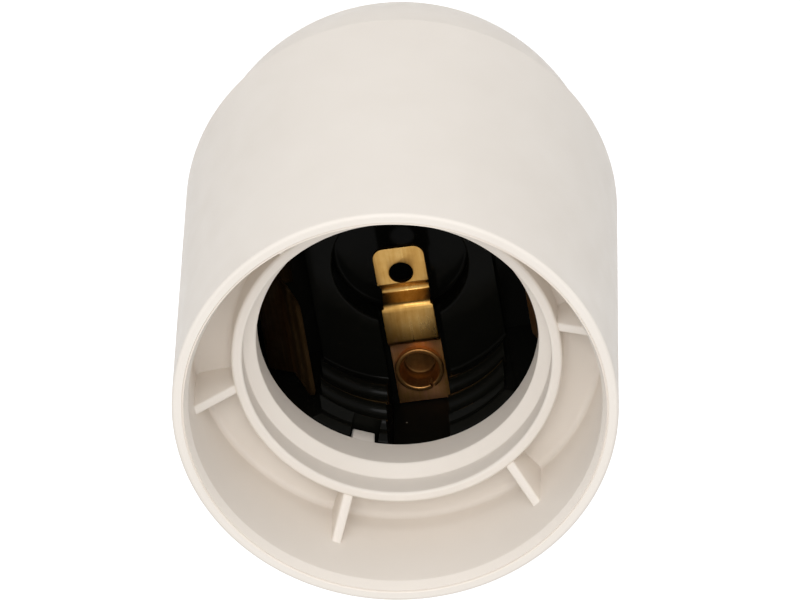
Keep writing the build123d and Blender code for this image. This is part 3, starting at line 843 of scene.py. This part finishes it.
# %% Insert: tree for the thread and the cuts
def thread_tree():
    tree, given, result = new_tree("lamp_thread", (
        ("Root Radius", FLOAT), ("Depth", FLOAT), ("Pitch", FLOAT), ("Rounding", FLOAT),
        ("Start", FLOAT), ("Turns", FLOAT),
        ("Wall Low", FLOAT), ("Wall High", FLOAT), ("Fade", FLOAT),
        ("Openings", OBJECT), ("Chambers", OBJECT), ("Holes", OBJECT), ("Finish", FINISH),
    ))
    place = add_node(tree, "GeometryNodeInputPosition", {})
    at = add_node(tree, "ShaderNodeSeparateXYZ", {"Vector": place["Position"]})
    x, y, z = at["X"], at["Y"], at["Z"]
    square = calc(tree, "ADD", calc(tree, "MULTIPLY", x, x), calc(tree, "MULTIPLY", y, y))
    radius = calc(tree, "SQRT", square)
    on_wall = calc(tree, "COMPARE", radius, given["Root Radius"], 0.02 * MM)

    # how many pitches this point lies above the ridge's start, and which turn of the ridge is nearest
    angle = calc(tree, "FLOORED_MODULO", calc(tree, "ARCTAN2", y, x), 2 * math.pi)
    share = calc(tree, "DIVIDE", angle, 2 * math.pi)
    climb = calc(tree, "DIVIDE", calc(tree, "SUBTRACT", z, given["Start"]), given["Pitch"])
    climb = calc(tree, "SUBTRACT", climb, share)
    ridge = calc(tree, "ROUND", climb)
    begun = calc(tree, "GREATER_THAN", ridge, -0.5)
    unfinished = calc(tree, "LESS_THAN", calc(tree, "ADD", ridge, share), given["Turns"])

    # the wave: a crest arc and a root arc of the same radius, which meet at a quarter pitch
    away = calc(tree, "ABSOLUTE", calc(tree, "SUBTRACT", climb, ridge))
    away = calc(tree, "MULTIPLY", away, given["Pitch"])
    half_pitch = calc(tree, "MULTIPLY", given["Pitch"], 0.5)

    def arc_drop(distance):
        squared = calc(tree, "MULTIPLY", given["Rounding"], given["Rounding"])
        left = calc(tree, "SUBTRACT", squared, calc(tree, "MULTIPLY", distance, distance))
        height = calc(tree, "SQRT", calc(tree, "MAXIMUM", left, 0.0))
        return calc(tree, "SUBTRACT", given["Rounding"], height)

    crest = calc(tree, "SUBTRACT", given["Depth"], arc_drop(away))
    root = arc_drop(calc(tree, "SUBTRACT", half_pitch, away))
    near_crest = calc(tree, "LESS_THAN", away, calc(tree, "MULTIPLY", given["Pitch"], 0.25))
    wave = add_node(tree, "ShaderNodeMix", {"Factor": near_crest, "A": root, "B": crest})["Result"]

    # the ridge runs out softly at the floor and at the top
    from_floor = calc(tree, "DIVIDE", calc(tree, "SUBTRACT", z, given["Wall Low"]), given["Fade"])
    from_top = calc(tree, "DIVIDE", calc(tree, "SUBTRACT", given["Wall High"], z), given["Fade"])
    fade = calc(tree, "MINIMUM", calc(tree, "MINIMUM", from_floor, from_top), 1.0)
    fade = calc(tree, "MAXIMUM", fade, 0.0)
    inward = wave
    for factor in (fade, on_wall, begun, unfinished):
        inward = calc(tree, "MULTIPLY", inward, factor)
    towards = calc(tree, "DIVIDE", calc(tree, "MULTIPLY", inward, -1.0), radius)
    offset = add_node(tree, "ShaderNodeCombineXYZ", {
        "X": calc(tree, "MULTIPLY", x, towards),
        "Y": calc(tree, "MULTIPLY", y, towards),
    })
    solid = add_node(tree, "GeometryNodeSetPosition", {
        "Geometry": given["Geometry"], "Offset": offset["Vector"],
    })["Geometry"]
    for name in ("Openings", "Chambers", "Holes"):
        cutter = add_node(tree, "GeometryNodeObjectInfo", {"Object": given[name]})
        solid = add_node(
            tree, "GeometryNodeMeshBoolean", {"Mesh 1": solid, "Mesh 2": cutter["Geometry"]},
            operation="DIFFERENCE", solver="MANIFOLD",
        )["Mesh"]
    return end_tree(tree, solid, given, result)


lamp_thread = thread_tree()
print("tree", lamp_thread.name, len(lamp_thread.nodes), "nodes")

# %% Insert: thread and cuts
half_pitch = thread_pitch / 2
thread_rounding = (thread_depth ** 2 + half_pitch ** 2) / (4 * thread_depth)
thread_start, thread_turns, thread_fade = floor_z + 2.1, 2.5, 0.5
wall_slack = 0.05
thread_sizes = {
    "Root Radius": thread_root_r * MM,
    "Depth": thread_depth * MM,
    "Pitch": thread_pitch * MM,
    "Rounding": thread_rounding * MM,
    "Start": thread_start * MM,
    "Turns": thread_turns,
    "Wall Low": (wall_low - wall_slack) * MM,
    "Wall High": (wall_high + wall_slack) * MM,
    "Fade": thread_fade * MM,
    "Openings": front_openings,
    "Chambers": rear_chambers,
    "Holes": deck_holes,
    "Finish": black_plastic,
}
run_tree(insert_body, lamp_thread, thread_sizes, smooth_angle=40)
for cutter in (front_openings, rear_chambers, deck_holes):
    bpy.data.objects.remove(cutter)
settle(insert_body, "insert", "black_plastic", "insert")

# %% [markdown]
# ## Brass and steel pieces
#
# The stamped and turned metal pieces have the right shape in the solids already, but with perfectly
# sharp edges. A stamped edge is always broken a little, and that thin bright line is what makes it look
# like metal. So each solid's mesh is copied, its loose triangles are joined into faces, and a Bevel
# modifier rounds the edges. The copy is kept as a plain mesh and stands for the solid.
#
# The centre strip's valley is a little wider in the picture than in its solid, so its folds are moved
# along the strip at the end: each fold has its own shift, and points between two folds move by a share
# of both.

# %% Copies with broken edges
merge_distance, flat_angle, edge_angle = 0.002, 0.5, 40


def edged_copy(node, body, material, slot, edge, refold=None):
    """A solid's mesh with its edges rounded and, if asked, its points moved along Y."""
    shape = bmesh.new()
    shape.from_mesh(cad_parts[node].data)
    bmesh.ops.remove_doubles(shape, verts=shape.verts, dist=merge_distance * MM)
    bmesh.ops.dissolve_limit(
        shape, angle_limit=math.radians(flat_angle), verts=shape.verts, edges=shape.edges,
    )
    obj = piece(node + "_metal", shape, material)
    bevel = obj.modifiers.new("broken edges", "BEVEL")
    bevel.width = edge * MM
    bevel.segments = 2
    bevel.limit_method = "ANGLE"
    bevel.angle_limit = math.radians(edge_angle)
    bevel.use_clamp_overlap = True
    keep_result(obj)
    if refold:
        for vert in obj.data.vertices:
            vert.co.y += refold(vert.co.y / MM) * MM
    settle(obj, body, slot, node)


tab_start, hole_end, tab_end = -1.0, 2.0, 2.4
pad_start, pad_end, flat_start, rim_start = 4.79, 8.01, 9.34, 10.2
fold_at = (tab_start, hole_end, tab_end, pad_start, pad_end, flat_start, rim_start)
fold_shift = (0.0, -0.12, -0.35, 0.45, 0.52, 0.5, 0.0)


def wider_valley(y):
    """How far a point of the strip moves along Y."""
    return np.interp(y, fold_at, fold_shift)


# %% Metal pieces
stamped_edge, leaf_edge, screw_edge = 0.08, 0.18, 0.1
edged_copy("centre_contact", "insert", contact_brass, "contact_brass", stamped_edge, wider_valley)
for node in ("neutral_bridge", "line_terminal"):
    edged_copy(node, "insert", contact_brass, "contact_brass", stamped_edge)
edged_copy("side_contact_rivets", "insert", side_brass, "contact_brass", stamped_edge)
for node in ("side_contact_right", "side_contact_left"):
    edged_copy(node, "insert", side_brass, "contact_brass", leaf_edge)
for node in ("line_clamp", "line_screw", "neutral_clamp", "neutral_screw", "lock_screw"):
    edged_copy(node, node, plated_steel, "plated_steel", screw_edge)

# %% [markdown]
# ## Centre rivet
#
# The rivet's front end is a tube that a punch has flared over the strip, so its rim is thin and its
# bore opens like a funnel. The punch has split the rim once. Turning makes the rivet on the holder's
# axis, a Boolean cuts the slit, and both shapes are moved to the rivet's own place first.

# %% Centre rivet
strip_t, plate_t = 0.5, 1.0
head_h, rim_r, tube_r, bore_r = 0.7, 2.45, 1.95, 1.6
rim_w, funnel_depth, bore_depth = 0.45, 1.1, 2.4
strip_top_z, plate_z = groove_z + strip_t, deck_z - plate_t
head_z, flare_z = plate_z - head_h, strip_top_z + head_h
rivet_corners = [
    (0, head_z, 0),
    (rim_r, head_z, 0.35),
    (rim_r, plate_z, 0),
    (tube_r, plate_z, 0),
    (tube_r, strip_top_z, 0),
    (rim_r, strip_top_z, 0),
    (rim_r, flare_z, 0.15),
    (rim_r - rim_w, flare_z, 0.15),
    (bore_r, flare_z - funnel_depth, 0.2),
    (bore_r, flare_z - bore_depth, 0.2),
    (0, flare_z - bore_depth, 0),
]
rivet_segments = 72
rivet_shape = turn(rounded(rivet_corners), rivet_segments)
slit_half, slit_angle, slit_room, slit_floor = 0.17, 119, 0.2, 0.05
slit_outline = oblong(bore_r - slit_room, rim_r + slit_room, slit_half, slit_angle)
slit_shape = bmesh.new()
prism(slit_shape, slit_outline, strip_top_z + slit_floor, flare_z + over)
for shape in (rivet_shape, slit_shape):
    bmesh.ops.translate(shape, verts=shape.verts, vec=(0, rivet_y * MM, 0))
centre_rivet = piece("centre_rivet_metal", rivet_shape, rivet_brass)
slit = piece("rim_slit", slit_shape, rivet_brass)
cut_out(centre_rivet, slit)
bpy.data.objects.remove(slit)
settle(centre_rivet, "insert", "contact_brass", "centre_rivet")

# %% [markdown]
# ## Stage and light
#
# The holder stands on a plain white floor. The floor adds its own white where the camera or a
# reflection looks at it, and keeps a part of its diffuse white, which carries the soft shadow and
# throws light up at the dome. The key lamp stands near the camera, so it reaches down the mouth and
# leaves hardly a shadow there. A lamp low in front lights the outer wall, and a small one sparks on the
# brass. The white world fills in the rest at a lower level than the lamps' side gets.

# %% Floor and world
def seen_rays(tree):
    """1 for camera, glossy and transmission rays, 0 for the rays that light the object."""
    rays = add_node(tree, "ShaderNodeLightPath", {})
    seen = calc(tree, "MAXIMUM", rays["Is Camera Ray"], rays["Is Glossy Ray"])
    return calc(tree, "MAXIMUM", seen, rays["Is Transmission Ray"])


floor_size, floor_drop = 3.0, 0.05
floor_white, floor_grey = 0.9, 0.42
floor_shape = bmesh.new()
bmesh.ops.create_grid(floor_shape, x_segments=1, y_segments=1, size=floor_size)
bmesh.ops.translate(floor_shape, verts=floor_shape.verts, vec=(0, 0, -floor_drop * MM))
floor_finish = bpy.data.materials.new("white_floor")
floor_finish.use_nodes = True
floor_tree = floor_finish.node_tree
floor_tree.nodes.clear()
seen_white = calc(floor_tree, "MULTIPLY", seen_rays(floor_tree), floor_white)
own_white = add_node(floor_tree, "ShaderNodeEmission", {"Strength": seen_white})
matt_white = add_node(floor_tree, "ShaderNodeBsdfDiffuse", {
    "Color": (floor_grey, floor_grey, floor_grey, 1),
})
both = floor_tree.nodes.new("ShaderNodeAddShader")
floor_tree.links.new(own_white["Emission"], both.inputs[0])
floor_tree.links.new(matt_white["BSDF"], both.inputs[1])
add_node(floor_tree, "ShaderNodeOutputMaterial", {"Surface": both.outputs["Shader"]})
floor = piece("floor", floor_shape, floor_finish)

world = bpy.data.worlds.new("studio")
scene.world = world
world.use_nodes = True
world_tree = world.node_tree
world_tree.nodes.clear()
fill_level = 0.76
seen_more = calc(world_tree, "MULTIPLY", seen_rays(world_tree), 1 - fill_level)
world_strength = calc(world_tree, "ADD", seen_more, fill_level)
sky = add_node(world_tree, "ShaderNodeBackground", {"Color": (1, 1, 1, 1), "Strength": world_strength})
add_node(world_tree, "ShaderNodeOutputWorld", {"Surface": sky["Background"]})
print("floor and world white, fill", fill_level)

# %% Lamps
def soft_lamp(name, aside, above, towards, size, power):
    """A square lamp placed from the rim along the picture's right, up and towards the camera."""
    light = bpy.data.lights.new(name, "AREA")
    light.size = size
    light.energy = power
    lamp = bpy.data.objects.new(name, light)
    scene.collection.objects.link(lamp)
    offset = right * aside + up * above + back * towards
    aimed = offset.to_track_quat("Z", "Y").to_matrix().to_4x4()
    lamp.matrix_world = Matrix.Translation(rim_centre + offset) @ aimed
    print(name, [round(c, 2) for c in rim_centre + offset])


soft_lamp("key_lamp", aside=-0.04, above=0.10, towards=1.0, size=0.4, power=2.7)
soft_lamp("wall_lamp", aside=-0.06, above=0.75, towards=0.66, size=0.4, power=1.6)
soft_lamp("spark_lamp", aside=-0.35, above=0.3, towards=0.9, size=0.06, power=0.4)
